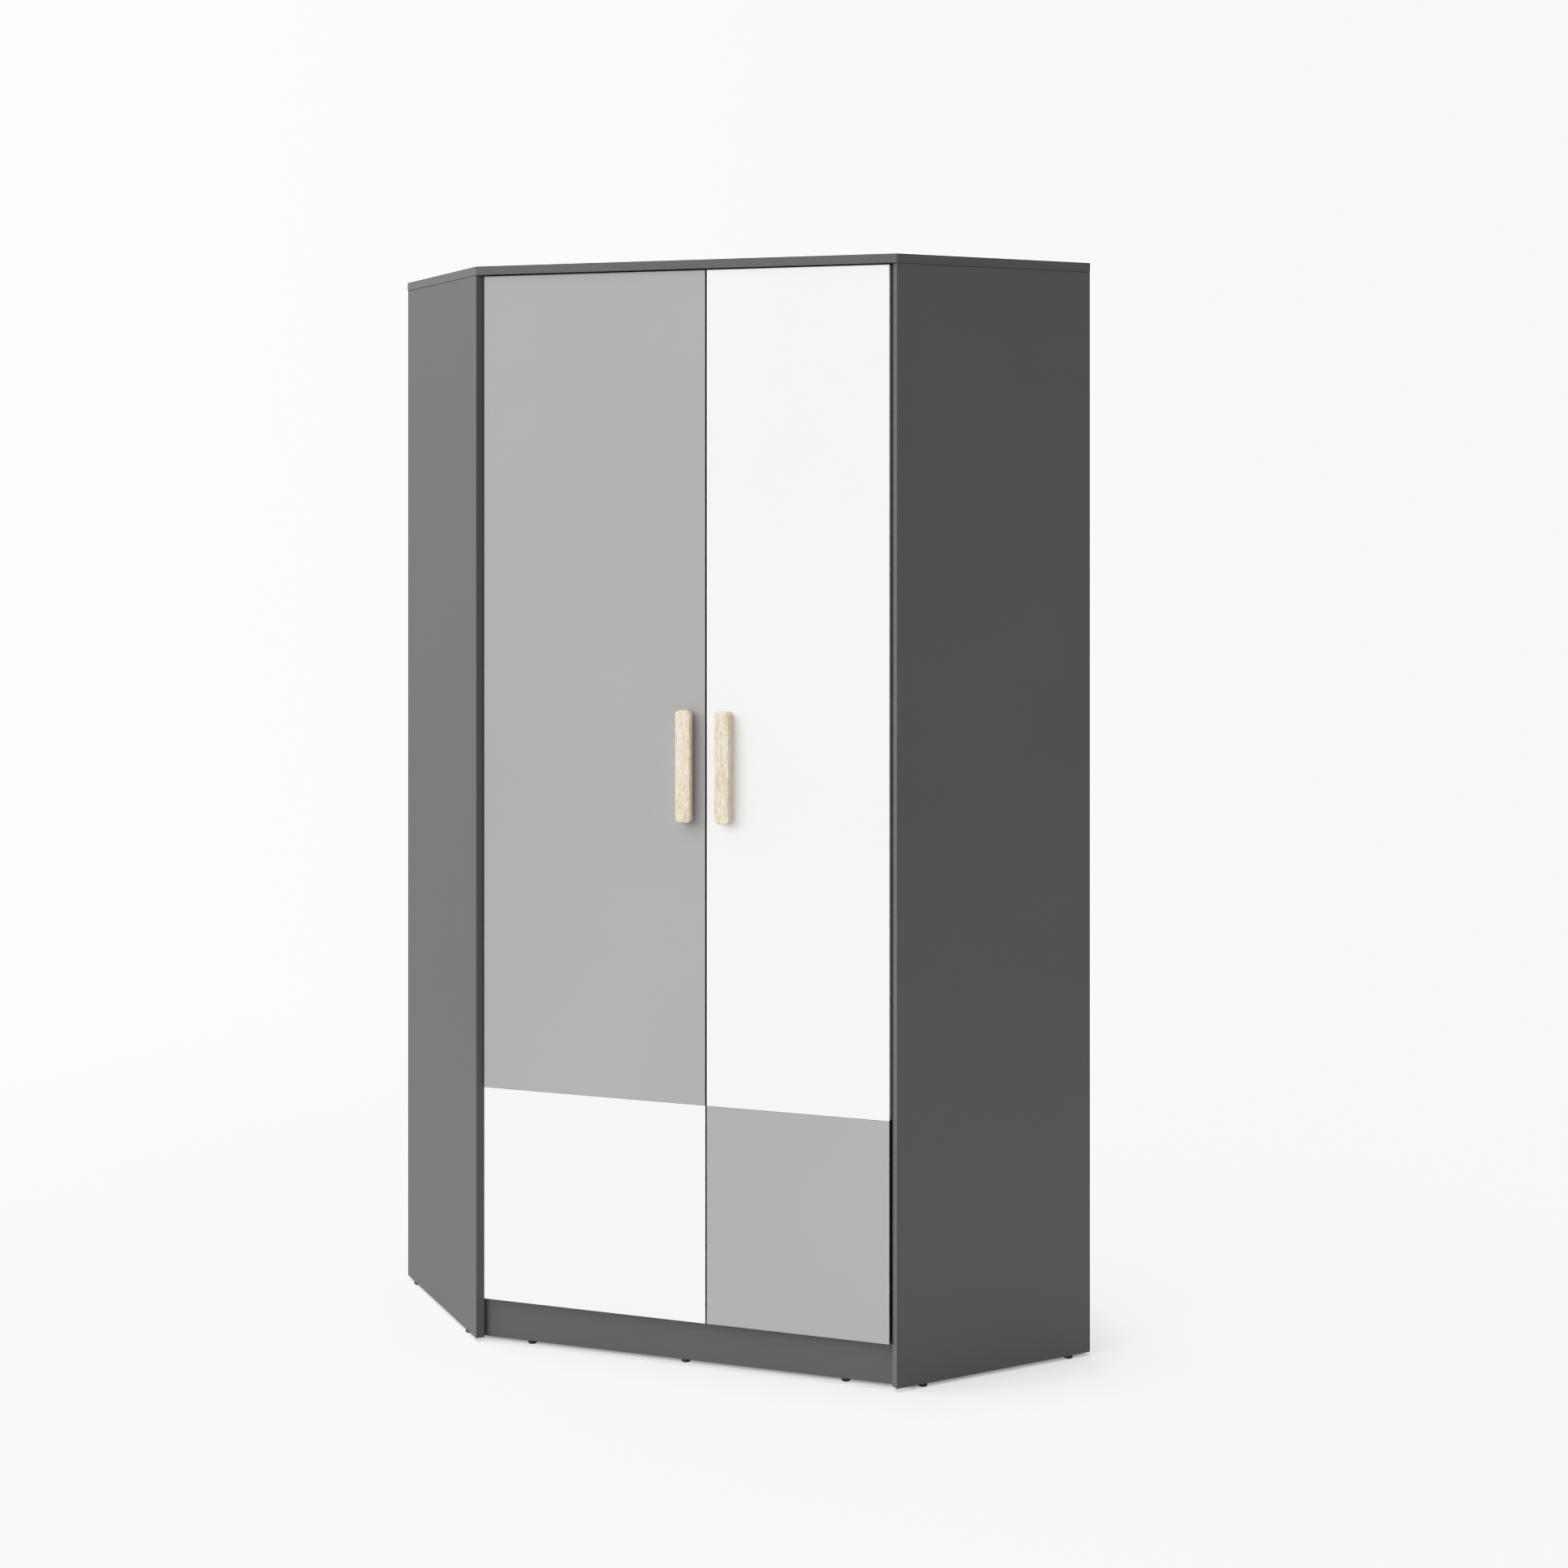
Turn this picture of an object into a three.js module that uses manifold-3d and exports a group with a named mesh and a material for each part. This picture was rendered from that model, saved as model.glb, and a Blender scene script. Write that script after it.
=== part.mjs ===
// Corner wardrobe with a diagonal front and two hinged doors, shown closed.
// Units are millimetres and +Z is up. The walls are at +X and +Y, so the rear corner is at +X +Y.
// The origin is on the floor, at the centre of the square that the wardrobe stands in.

import * as THREE from 'three';
import { mergeVertices } from 'three/addons/utils/BufferGeometryUtils.js';
import Module from 'manifold-3d';

const wasm = await Module();
wasm.setup();

// Carcass
const overall_width = 956;
const overall_height = 1950;
const side_depth = 396;
const board = 16;
const top_overhang = 1;
const seam = 0.3;

// Thin backs and the boards of the rear corner post
const back_thickness = 3;
const rebate_depth = 3.5;
const rebate_width = 8;
const stile_width = 96;

// Plinth and glides
const plinth_height = 70;
const plinth_setback = 20;
const foot_height = 6;
const foot_radius = 8;
const foot_chamfer = 1;
const foot_front_inset = 56;
const foot_rear_inset = 41;
const foot_plinth_inset = 99;

// Doors, with heights counted from the lower edge of the side panels
const door_setback = 4;
const door_side_gap = 3;
const door_middle_gap = 3.3;
const door_top_gap = 2.5;
const door_lift = 3;
const door_buffer_gap = 2.5;
const left_door_share = 0.5613;
const door_split_height = 456;
const door_split_seam = 0.4;

// Joining plate on the back of each door, across the colour split
const joining_plate_height = 60;
const joining_plate_thickness = 2;
const joining_plate_margin = 30;

// Door handles
const handle_length = 197;
const handle_width = 28;
const handle_depth = 22;
const handle_corner = 8;
const handle_edge_round = 2.8;
const handle_gap_distance = 36;
const handle_centre_height = 1053;
const groove_height = 9;
const groove_reach = 10;

// Concealed hinges
const hinge_end_distance = 90;
const middle_hinge_shares = [0.306, 0.635];
const cup_radius = 17.5;
const cup_depth = 13;
const cup_wall = 0.6;
const cup_edge_distance = 3;
const cup_bore_gap = 0.2;
const cup_rim = 1.5;
const flange_thickness = 1;
const flange_length = 58;
const flange_width = 17;
const pin_radius = 1;
const pin_play = 0.25;
const pin_edge_distance = 6.5;
const pin_floor_gap = 0.1;
const eye_wall = 0.8;
const arm_thickness = 1.6;
const arm_width = 8;
const arm_reach = 14;
const arm_rise = 14.5;
const arm_length = 50;
const arm_panel_distance = 10;
const mounting_distance = 37;
const mounting_plate_length = 32;
const mounting_plate_height = 48;
const mounting_plate_thickness = 2;
const mounting_block_length = 26;

// Inside fittings
const shelf_setback = 26;
const hat_space_height = 272;
const side_shelf_shares = [0.17, 0.376, 0.583, 0.852];
const rail_radius = 12.5;
const rail_wall = 1.2;
const rail_length = 560;
const rail_setback = 330;
const rail_centre_share = 0.33;
const rail_drop = 55;
const bracket_inset = 60;
const bracket_play = 0.3;
const bracket_ring_wall = 3.2;
const bracket_ring_width = 10;
const bracket_stem_thickness = 4;
const bracket_stem_width = 20;
const bracket_plate_length = 56;
const bracket_plate_width = 26;
const bracket_plate_thickness = 2.5;

// Overrun of the cutting solids, and the facets of round pieces
const overrun = 1;
const round_sides = 40;
const small_round_sides = 24;
const corner_steps = 6;

// Places in plan
const wall = overall_width / 2;
const outer = top_overhang - wall;
const inner = outer + board;
const front_edge = wall - side_depth;
const back_line = wall - rebate_depth;
const stile_line = wall - stile_width;
const front_length = (front_edge - outer) * Math.SQRT2;
const carcass_setback = door_setback + board + door_buffer_gap;

// Heights above the floor
const panel_low = foot_height;
const top_low = overall_height - board;
const bottom_low = panel_low + plinth_height;
const bottom_high = bottom_low + board;
const door_low = bottom_low + door_lift;
const door_high = top_low - door_top_gap;
const door_split = panel_low + door_split_height;
const hat_shelf_high = top_low - hat_space_height;
const hat_shelf_low = hat_shelf_high - board;

// Places along the front, from the front corner of the left side panel
const inner_corner = board * Math.SQRT1_2;
const door_start = inner_corner + door_side_gap;
const door_end = front_length - door_start;
const both_doors = door_end - door_start - door_middle_gap;
const left_door_end = door_start + both_doors * left_door_share;
const right_door_start = left_door_end + door_middle_gap;
const gap_centre = left_door_end + door_middle_gap / 2;

// Hinge pin, measured from the door's front face and from the front line
const eye_bore = pin_radius + pin_play;
const eye_radius = eye_bore + eye_wall;
const cup_floor = board + seam - cup_depth;
const pin_depth = cup_floor + cup_wall + pin_floor_gap + eye_radius;
const pin_line = door_setback + pin_depth;
const pin_start = door_start + pin_edge_distance;

function finish(colour, roughness, metalness) {
  return new THREE.MeshStandardMaterial({ color: colour, roughness, metalness });
}

const graphite = () => finish(0x5b5b5c, 0.6, 0);
const grey = () => finish(0xa9a9a9, 0.55, 0);
const white = () => finish(0xf2f2f0, 0.45, 0);
const fibreboard = () => finish(0x8a7a66, 0.8, 0);
const pale_wood = () => finish(0xe0d2b4, 0.55, 0);
const black_plastic = () => finish(0x141414, 0.5, 0);
const steel = () => finish(0xb8babd, 0.3, 1);

const wardrobe = new THREE.Group();

// The front group has X along the front, Y into the wardrobe and its origin at the left front corner
const front = new THREE.Group();
front.position.set(outer, front_edge, 0);
front.rotation.z = -Math.PI / 4;
wardrobe.add(front);

function to_solid(geometry) {
  const bare = geometry.clone();
  bare.deleteAttribute('normal');
  bare.deleteAttribute('uv');
  const merged = mergeVertices(bare);
  const vertProperties = merged.attributes.position.array;
  const triVerts = new Uint32Array(merged.index.array);
  return new wasm.Manifold(new wasm.Mesh({ numProp: 3, vertProperties, triVerts }));
}

function to_geometry(solid) {
  const mesh = solid.getMesh();
  const geometry = new THREE.BufferGeometry();
  geometry.setAttribute('position', new THREE.BufferAttribute(mesh.vertProperties, 3));
  geometry.setIndex(new THREE.BufferAttribute(mesh.triVerts, 1));
  geometry.computeVertexNormals();
  return geometry;
}

function place(parent, name, geometry, material, x, y, z) {
  const mesh = new THREE.Mesh(geometry, material);
  mesh.name = name;
  mesh.position.set(x, y, z);
  parent.add(mesh);
  return mesh;
}

// A block between two corners
function block(low, high) {
  const size = high.map((value, i) => value - low[i]);
  const geometry = new THREE.BoxGeometry(...size);
  geometry.translate(...low.map((value, i) => value + size[i] / 2));
  return geometry;
}

function outline(points) {
  return new THREE.Shape(points.map(([x, y]) => new THREE.Vector2(x, y)));
}

// An upright board or a shelf: a plan outline drawn up from low to high
function add_plate(parent, name, material, points, low, high) {
  const geometry = new THREE.ExtrudeGeometry(outline(points), { depth: high - low, bevelEnabled: false });
  return place(parent, name, geometry, material, 0, 0, low);
}

// A round bar along X, Y or Z from its middle
function bar(radius, length, axis, sides) {
  const geometry = new THREE.CylinderGeometry(radius, radius, length, sides);
  if (axis === 'x') geometry.rotateZ(Math.PI / 2);
  if (axis === 'z') geometry.rotateX(Math.PI / 2);
  return geometry;
}

// The same outline on the other side of the wardrobe's plane of symmetry
function mirrored(points) {
  return points.map(([x, y]) => [y, x]).reverse();
}

// Where a plane parallel to the front, at a setback from it, meets a line of constant X or Y
function across(other, setback) {
  return outer + front_edge + setback * Math.SQRT2 - other;
}

// Side panels, rebated at the rear inner edge for the thin backs
const side_outline = [
  [outer, front_edge],
  [inner, front_edge],
  [inner, back_line],
  [inner - rebate_width, back_line],
  [inner - rebate_width, wall],
  [outer, wall],
];
const panel_high = top_low - seam;
add_plate(wardrobe, 'left_side_panel', graphite(), side_outline, panel_low, panel_high);
add_plate(wardrobe, 'right_side_panel', graphite(), mirrored(side_outline), panel_low, panel_high);

// Rear corner post of two stiles, rebated at their free edges
const stile_outline = [
  [stile_line, wall - board],
  [wall - board - seam, wall - board],
  [wall - board - seam, wall],
  [stile_line + rebate_width, wall],
  [stile_line + rebate_width, back_line],
  [stile_line, back_line],
];
const corner_stile_outline = [
  [wall - board, stile_line],
  [back_line, stile_line],
  [back_line, stile_line + rebate_width],
  [wall, stile_line + rebate_width],
  [wall, wall],
  [wall - board, wall],
];
add_plate(wardrobe, 'rear_stile_left', graphite(), stile_outline, panel_low, panel_high);
add_plate(wardrobe, 'rear_stile_right', graphite(), corner_stile_outline, panel_low, panel_high);

// Thin backs between the rebates
const back_outline = [
  [inner - rebate_width + seam, back_line + seam],
  [stile_line + rebate_width - seam, back_line + seam],
  [stile_line + rebate_width - seam, back_line + seam + back_thickness],
  [inner - rebate_width + seam, back_line + seam + back_thickness],
];
const back_high = top_low + rebate_width - seam;
add_plate(wardrobe, 'back_panel_left', fibreboard(), back_outline, bottom_low, back_high);
add_plate(wardrobe, 'back_panel_right', fibreboard(), mirrored(back_outline), bottom_low, back_high);

// Top board on the side panels, with the rebate of the backs along both walls
function top_geometry() {
  const far = across(-wall, -top_overhang);
  const points = [[-wall, far], [far, -wall], [wall, -wall], [wall, wall], [-wall, wall]];
  const slab = new THREE.ExtrudeGeometry(outline(points), { depth: board, bevelEnabled: false });
  const start = inner - rebate_width;
  const end = wall + overrun;
  const left_cut = block([start, back_line, -overrun], [end, end, rebate_width]);
  const right_cut = block([back_line, start, -overrun], [end, end, rebate_width]);
  return to_geometry(to_solid(slab).subtract(to_solid(left_cut)).subtract(to_solid(right_cut)));
}
place(wardrobe, 'top_board', top_geometry(), graphite(), 0, 0, top_low);

// Notch of the shelves around the rear corner post
const notch_line = stile_line - seam;
const post_line = wall - board - seam;
const corner_notch = [
  [back_line, notch_line],
  [post_line, notch_line],
  [post_line, post_line],
  [notch_line, post_line],
  [notch_line, back_line],
];

// Bottom board between the side panels
const side_line = inner + seam;
const bottom_outline = [
  [side_line, across(side_line, carcass_setback)],
  [across(side_line, carcass_setback), side_line],
  [back_line, side_line],
  ...corner_notch,
  [side_line, back_line],
];
add_plate(wardrobe, 'bottom_board', graphite(), bottom_outline, bottom_low, bottom_high);

// Plinth board, mitred against both side panels
const plinth_start = Math.SQRT2 * (board + seam) - plinth_setback;
const plinth_outline = [
  [plinth_start, plinth_setback],
  [front_length - plinth_start, plinth_setback],
  [front_length - plinth_start + board, plinth_setback + board],
  [plinth_start - board, plinth_setback + board],
];
add_plate(front, 'plinth_board', graphite(), plinth_outline, panel_low, bottom_low - seam);

// Partition behind the gap between the doors, parallel to the right side panel
const partition_middle = front_edge + (carcass_setback - gap_centre) * Math.SQRT1_2;
const partition_low = partition_middle - board / 2;
const partition_high = partition_middle + board / 2;
const partition_front = across(partition_low, carcass_setback);
const partition_outline = [
  [partition_front, partition_low],
  [back_line, partition_low],
  [back_line, partition_high],
  [partition_front, partition_high],
];
const inside_low = bottom_high + seam;
add_plate(wardrobe, 'partition_panel', graphite(), partition_outline, inside_low, panel_high);

// Hat shelf over the hanging space
const hat_side = partition_high + seam;
const hat_shelf_outline = [
  [side_line, across(side_line, shelf_setback)],
  [across(hat_side, shelf_setback), hat_side],
  [back_line, hat_side],
  ...corner_notch,
  [side_line, back_line],
];
add_plate(wardrobe, 'hat_shelf', graphite(), hat_shelf_outline, hat_shelf_low, hat_shelf_high);

// Side shelves between the partition and the right side panel
const shelf_side = partition_low - seam;
const side_shelf_outline = [
  [across(shelf_side, shelf_setback), shelf_side],
  [across(side_line, shelf_setback), side_line],
  [back_line, side_line],
  [back_line, shelf_side],
];
side_shelf_shares.forEach((share, i) => {
  const high = bottom_high + share * (top_low - bottom_high);
  const name = `side_shelf_${i + 1}`;
  add_plate(wardrobe, name, graphite(), side_shelf_outline, high - board, high);
});

// Hanging rail, an open tube parallel to the front
const rail_middle = front_length * rail_centre_share;
const rail_height = hat_shelf_low - rail_drop;
function rail_geometry() {
  const section = new THREE.Shape();
  section.absarc(0, 0, rail_radius, 0, Math.PI * 2, false);
  const bore = new THREE.Path();
  bore.absarc(0, 0, rail_radius - rail_wall, 0, Math.PI * 2, true);
  section.holes.push(bore);
  const options = { depth: rail_length, bevelEnabled: false, curveSegments: round_sides / 2 };
  const geometry = new THREE.ExtrudeGeometry(section, options);
  geometry.translate(0, 0, -rail_length / 2);
  geometry.rotateY(Math.PI / 2);
  return geometry;
}
place(front, 'hanging_rail', rail_geometry(), steel(), rail_middle, rail_setback, rail_height);

// Rail brackets: a plate under the hat shelf, a stem, and a ring around the rail
function bracket_geometry() {
  const ring_bore = rail_radius + bracket_play;
  const ring_radius = ring_bore + bracket_ring_wall;
  const half_plate = bracket_plate_length / 2;
  const half_width = bracket_plate_width / 2;
  const half_stem = bracket_stem_thickness / 2;
  const half_stem_width = bracket_stem_width / 2;
  const plate_high = rail_drop - seam;
  const plate_low = plate_high - bracket_plate_thickness;
  const plate = block([-half_plate, -half_width, plate_low], [half_plate, half_width, plate_high]);
  const stem = block([-half_stem, -half_stem_width, 0], [half_stem, half_stem_width, plate_high]);
  const ring = bar(ring_radius, bracket_ring_width, 'x', round_sides);
  const bore = bar(ring_bore, bracket_ring_width + overrun, 'x', round_sides);
  const joined = to_solid(plate).add(to_solid(stem)).add(to_solid(ring));
  return to_geometry(joined.subtract(to_solid(bore)));
}
const bracket_reach = rail_length / 2 - bracket_inset;
const bracket_places = [['left', rail_middle - bracket_reach], ['right', rail_middle + bracket_reach]];
bracket_places.forEach(([side, x]) => {
  const name = `rail_bracket_${side}`;
  place(front, name, bracket_geometry(), steel(), x, rail_setback, rail_height);
});

// Glides under the side panels, the plinth and the rear corner post
function foot_geometry() {
  const high = foot_height - seam;
  const rim = foot_radius - foot_chamfer;
  const profile = [[0, 0], [rim, 0], [foot_radius, foot_chamfer], [foot_radius, high], [0, high]];
  const points = profile.map(([x, y]) => new THREE.Vector2(x, y));
  const geometry = new THREE.LatheGeometry(points, small_round_sides);
  geometry.rotateX(Math.PI / 2);
  return geometry;
}
const panel_middle = outer + board / 2;
const front_foot = front_edge + foot_front_inset;
const rear_foot = wall - foot_rear_inset;
const corner_foot = wall - foot_radius;
const plinth_middle = plinth_setback + board / 2;
const foot_places = [
  [wardrobe, 'foot_left_front', panel_middle, front_foot],
  [wardrobe, 'foot_left_rear', panel_middle, rear_foot],
  [wardrobe, 'foot_right_front', front_foot, panel_middle],
  [wardrobe, 'foot_right_rear', rear_foot, panel_middle],
  [wardrobe, 'foot_rear_corner', corner_foot, rear_foot],
  [front, 'foot_plinth_left', foot_plinth_inset, plinth_middle],
  [front, 'foot_plinth_middle', front_length / 2, plinth_middle],
  [front, 'foot_plinth_right', front_length - foot_plinth_inset, plinth_middle],
];
foot_places.forEach(([parent, name, x, y]) => {
  place(parent, name, foot_geometry(), black_plastic(), x, y, 0);
});

// Heights of the hinges on both doors
const lowest_hinge = door_low + hinge_end_distance;
const highest_hinge = door_high - hinge_end_distance;
const middle_hinges = middle_hinge_shares.map((share) => door_low + share * (door_high - door_low));
const hinge_heights = [lowest_hinge, ...middle_hinges, highest_hinge];

// A door board with the cup bores of the hinges that fall on it; edge is the hinged edge
function door_board_geometry(start, end, low, high, edge, side) {
  const bore_radius = cup_radius + cup_bore_gap;
  const bore_floor = board - cup_depth;
  const bore_length = cup_depth + overrun;
  let solid = to_solid(block([start, 0, low], [end, board, high]));
  hinge_heights.filter((z) => z > low && z < high).forEach((z) => {
    const bore = bar(bore_radius, bore_length, 'y', round_sides);
    const x = edge + side * (cup_edge_distance + cup_radius);
    bore.translate(x, bore_floor + bore_length / 2, z);
    solid = solid.subtract(to_solid(bore));
  });
  return to_geometry(solid);
}

// A door handle: an upright bar with round corners and a finger groove towards the gap
function handle_geometry(side) {
  const half_width = handle_width / 2;
  const half_length = handle_length / 2;
  const x = half_width - handle_edge_round;
  const z = half_length - handle_edge_round;
  const radius = handle_corner - handle_edge_round;
  const face = new THREE.Shape();
  face.moveTo(-x + radius, -z);
  face.lineTo(x - radius, -z);
  face.absarc(x - radius, -z + radius, radius, -Math.PI / 2, 0, false);
  face.lineTo(x, z - radius);
  face.absarc(x - radius, z - radius, radius, 0, Math.PI / 2, false);
  face.lineTo(-x + radius, z);
  face.absarc(-x + radius, z - radius, radius, Math.PI / 2, Math.PI, false);
  face.lineTo(-x, -z + radius);
  face.absarc(-x + radius, -z + radius, radius, Math.PI, Math.PI * 3 / 2, false);
  const bevel = { bevelThickness: handle_edge_round, bevelSize: handle_edge_round, bevelSegments: 3 };
  const options = { depth: handle_depth, curveSegments: corner_steps, ...bevel };
  const body = new THREE.ExtrudeGeometry(face, options);
  body.rotateX(Math.PI / 2);
  body.translate(0, handle_edge_round, 0);
  const behind = block([-half_width - overrun, 0, -half_length - overrun],
    [half_width + overrun, handle_depth, half_length + overrun]);
  return to_geometry(to_solid(body).subtract(to_solid(behind)).subtract(groove_solid(side)));
}

function groove_solid(side) {
  const radius = groove_height / 2;
  const open_end = side * (handle_width / 2 + overrun);
  const inner_end = side * (handle_width / 2 - groove_reach + radius);
  const slot_low = [Math.min(open_end, inner_end), -groove_height, -handle_length];
  const slot_high = [Math.max(open_end, inner_end), overrun, handle_length];
  const end = bar(radius, handle_length * 2, 'z', small_round_sides);
  end.translate(inner_end, -radius, 0);
  return to_solid(block(slot_low, slot_high)).add(to_solid(end));
}

// Strip along a path of points, drawn out to both sides, with mitred corners
function strip_outline(path, thickness) {
  const half = thickness / 2;
  const unit = (a, b) => {
    const length = Math.hypot(b[0] - a[0], b[1] - a[1]);
    return [(b[0] - a[0]) / length, (b[1] - a[1]) / length];
  };
  const edge = (sign) => path.map((point, i) => {
    const before = unit(path[Math.max(i - 1, 0)], path[Math.max(i, 1)]);
    const last = path.length - 1;
    const after = unit(path[Math.min(i, last - 1)], path[Math.min(i + 1, last)]);
    const normal = [-before[1] - after[1], before[0] + after[0]];
    const stretch = 1 + before[0] * after[0] + before[1] * after[1];
    return [point[0] + sign * half * normal[0] / stretch, point[1] + sign * half * normal[1] / stretch];
  });
  return [...edge(1), ...edge(-1).reverse()];
}

// Hinge pieces are drawn from the pin, for the left door, and side is -1 on the right door
const cup_offset = cup_edge_distance + cup_radius - pin_edge_distance;
const face_offset = board - pin_depth;

// Cup let into the door, with its flange and the pin across it
function cup_geometry(side) {
  const low = cup_floor - pin_depth;
  const high = face_offset + seam + flange_thickness;
  const x = side * cup_offset;
  const outside = bar(cup_radius, high - low, 'y', round_sides);
  outside.translate(x, (low + high) / 2, 0);
  const hollow_low = low + cup_wall;
  const hollow = bar(cup_radius - cup_wall, high + overrun - hollow_low, 'y', round_sides);
  hollow.translate(x, (hollow_low + high + overrun) / 2, 0);
  const rim = bar(cup_radius + cup_rim, flange_thickness, 'y', round_sides);
  rim.translate(x, high - flange_thickness / 2, 0);
  const half_flange = flange_width / 2;
  const flange_low = [x - half_flange, high - flange_thickness, -flange_length / 2];
  const flange_high = [x + half_flange, high, flange_length / 2];
  const flange = block(flange_low, flange_high);
  const pin = bar(pin_radius, cup_radius * 2, 'z', small_round_sides);
  const held_pin = to_solid(pin).intersect(to_solid(outside));
  const shell = to_solid(outside).add(to_solid(rim)).add(to_solid(flange)).subtract(to_solid(hollow));
  return to_geometry(shell.add(held_pin));
}

// The arm's last stretch runs along the side panel, where its X and Y from the pin add up to arm_face
const arm_face = inner_corner * 2 + arm_panel_distance * Math.SQRT2 - pin_start - pin_line;
const arm_turn = arm_face - arm_rise;
const arm_step = arm_length * Math.SQRT1_2;

// Goose-necked arm with an eye on the pin, which runs out of the cup and back to the side panel
function arm_geometry(side) {
  const path = [
    [0, 0],
    [arm_reach, 0],
    [arm_reach, arm_rise],
    [arm_turn, arm_rise],
    [arm_turn - arm_step, arm_rise + arm_step],
  ].map(([x, y]) => [side * x, y]);
  const options = { depth: arm_width, bevelEnabled: false };
  const strip = new THREE.ExtrudeGeometry(outline(strip_outline(path, arm_thickness)), options);
  strip.translate(0, 0, -arm_width / 2);
  const eye = bar(eye_radius, arm_width, 'z', small_round_sides);
  const bore = bar(eye_bore, arm_width + overrun, 'z', small_round_sides);
  return to_geometry(to_solid(strip).add(to_solid(eye)).subtract(to_solid(bore)));
}

// Mounting plate on the side panel, with the block that carries the arm
function mounting_geometry() {
  const half_length = mounting_plate_length / 2;
  const half_height = mounting_plate_height / 2;
  const half_block = mounting_block_length / 2;
  const block_high = arm_panel_distance - arm_thickness / 2 - seam;
  const base_low = [seam, -half_length, -half_height];
  const base_high = [seam + mounting_plate_thickness, half_length, half_height];
  const base = block(base_low, base_high);
  const raised = block([seam, -half_block, -arm_width / 2], [block_high, half_block, arm_width / 2]);
  return to_geometry(to_solid(base).add(to_solid(raised)));
}

function add_hinge(name, side, height) {
  const x = side > 0 ? pin_start : front_length - pin_start;
  place(front, `${name}_cup`, cup_geometry(side), steel(), x, pin_line, height);
  place(front, `${name}_arm`, arm_geometry(side), steel(), x, pin_line, height);
  const along = front_edge + mounting_distance;
  const plate_x = side > 0 ? inner : along;
  const plate_y = side > 0 ? along : inner;
  const plate = place(wardrobe, `${name}_plate`, mounting_geometry(), steel(), plate_x, plate_y, height);
  plate.rotation.z = side > 0 ? 0 : Math.PI / 2;
}

// A door of two boards with its joining plate, handle and hinges
function add_door(name, start, end, side, upper_finish, lower_finish) {
  const edge = side > 0 ? start : end;
  const half_seam = door_split_seam / 2;
  const low_end = door_split - half_seam;
  const high_start = door_split + half_seam;
  const lower = door_board_geometry(start, end, door_low, low_end, edge, side);
  const upper = door_board_geometry(start, end, high_start, door_high, edge, side);
  place(front, `${name}_lower_board`, lower, lower_finish, 0, door_setback, 0);
  place(front, `${name}_upper_board`, upper, upper_finish, 0, door_setback, 0);
  const half_plate = joining_plate_height / 2;
  const plate_near = door_setback + board + seam;
  const plate = block(
    [start + joining_plate_margin, plate_near, door_split - half_plate],
    [end - joining_plate_margin, plate_near + joining_plate_thickness, door_split + half_plate],
  );
  place(front, `${name}_joining_plate`, plate, steel(), 0, 0, 0);
  const handle_x = gap_centre - side * handle_gap_distance;
  const handle_y = door_setback - seam;
  const handle_z = panel_low + handle_centre_height;
  place(front, `${name}_handle`, handle_geometry(side), pale_wood(), handle_x, handle_y, handle_z);
  hinge_heights.forEach((height, i) => add_hinge(`${name}_hinge_${i + 1}`, side, height));
}

add_door('left_door', door_start, left_door_end, 1, grey(), white());
add_door('right_door', right_door_start, door_end, -1, white(), grey());

export default wardrobe;
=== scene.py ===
import math

import bmesh
import bpy
from mathutils import Matrix, Vector


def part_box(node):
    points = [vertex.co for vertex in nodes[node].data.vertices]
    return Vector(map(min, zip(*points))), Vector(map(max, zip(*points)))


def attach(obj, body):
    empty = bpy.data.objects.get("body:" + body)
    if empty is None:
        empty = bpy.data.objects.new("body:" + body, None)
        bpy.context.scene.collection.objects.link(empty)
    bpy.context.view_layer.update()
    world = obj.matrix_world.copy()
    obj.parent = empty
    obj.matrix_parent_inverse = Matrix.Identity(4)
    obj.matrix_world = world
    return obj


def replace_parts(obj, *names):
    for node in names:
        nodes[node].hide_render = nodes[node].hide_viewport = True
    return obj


# Corner wardrobe with a diagonal two-door front, in metres, +Z up, walls at +X and +Y
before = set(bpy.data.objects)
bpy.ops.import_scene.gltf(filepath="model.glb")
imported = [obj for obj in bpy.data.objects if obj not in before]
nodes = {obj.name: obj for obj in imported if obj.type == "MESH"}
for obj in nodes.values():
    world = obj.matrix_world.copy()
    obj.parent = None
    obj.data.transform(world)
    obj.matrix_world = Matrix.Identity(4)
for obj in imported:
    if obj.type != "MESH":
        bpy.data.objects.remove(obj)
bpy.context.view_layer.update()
MM = 0.001
HALF = math.sqrt(0.5)

# The front has X along it from left to right and Y into the wardrobe
LEFT_CORNER = Vector((-0.477, 0.082, 0.0))
ALONG = Vector((HALF, -HALF, 0.0))
INWARD = Vector((HALF, HALF, 0.0))
FRONT = Matrix.Translation(LEFT_CORNER) @ Matrix.Rotation(-math.pi / 4, 4, "Z")


# Node helpers
def set_input(tree, socket, value):
    if isinstance(value, bpy.types.NodeSocket):
        tree.links.new(value, socket)
    else:
        socket.default_value = value


def math_node(tree, operation, *values):
    node = tree.nodes.new("ShaderNodeMath")
    node.operation = operation
    for i, value in enumerate(values):
        set_input(tree, node.inputs[i], value)
    return node.outputs[0]


def dot(tree, vector, direction):
    node = tree.nodes.new("ShaderNodeVectorMath")
    node.operation = "DOT_PRODUCT"
    tree.links.new(vector, node.inputs[0])
    node.inputs[1].default_value = direction
    return node.outputs["Value"]


def stretched(tree, vector, scale, place=(0, 0, 0)):
    node = tree.nodes.new("ShaderNodeMapping")
    tree.links.new(vector, node.inputs["Vector"])
    node.inputs["Location"].default_value = place
    node.inputs["Scale"].default_value = scale
    return node.outputs[0]


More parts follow.
